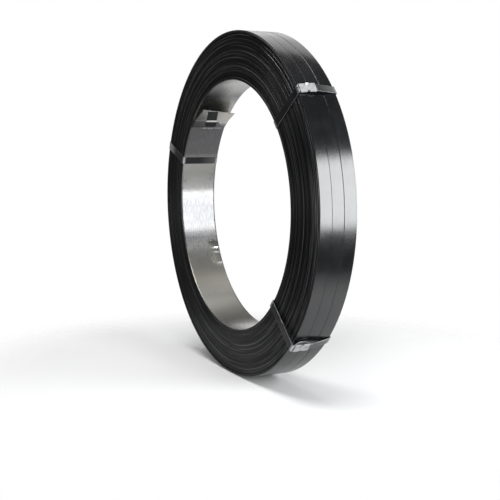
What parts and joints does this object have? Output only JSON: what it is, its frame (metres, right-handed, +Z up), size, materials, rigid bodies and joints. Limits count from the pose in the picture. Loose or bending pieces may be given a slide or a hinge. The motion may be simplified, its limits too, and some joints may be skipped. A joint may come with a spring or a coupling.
{
  "type": "steel strapping coil",
  "caption": "Coil of black steel strapping wound in columns on a bright core hoop with a lock tab, held by narrow tie straps with crimped seals and standing on its rim.",
  "frame": {"origin": "centre of the bore, half-way across the strap columns", "axes": "Y along the coil's axis, Z up; the end that the picture shows faces -Y, and the coil stands on its rim"},
  "size_m": [0.5616, 0.0693, 0.5616],
  "materials": {
    "strap_black": "black paint and wax on cold-rolled strap, semi-gloss",
    "hoop_steel": "bare cold-rolled steel, lightly brushed",
    "tie_black": "black paint, semi-matt",
    "seal_zinc": "bright zinc"
  },
  "bodies": {
    "root": {"windings": "strap_black", "core_hoop": "hoop_steel", "tie_upper": "tie_black", "tie_left": "tie_black", "tie_lower": "tie_black", "seal_upper": "seal_zinc", "seal_left": "seal_zinc", "seal_lower": "seal_zinc"}
  },
  "joints": []
}
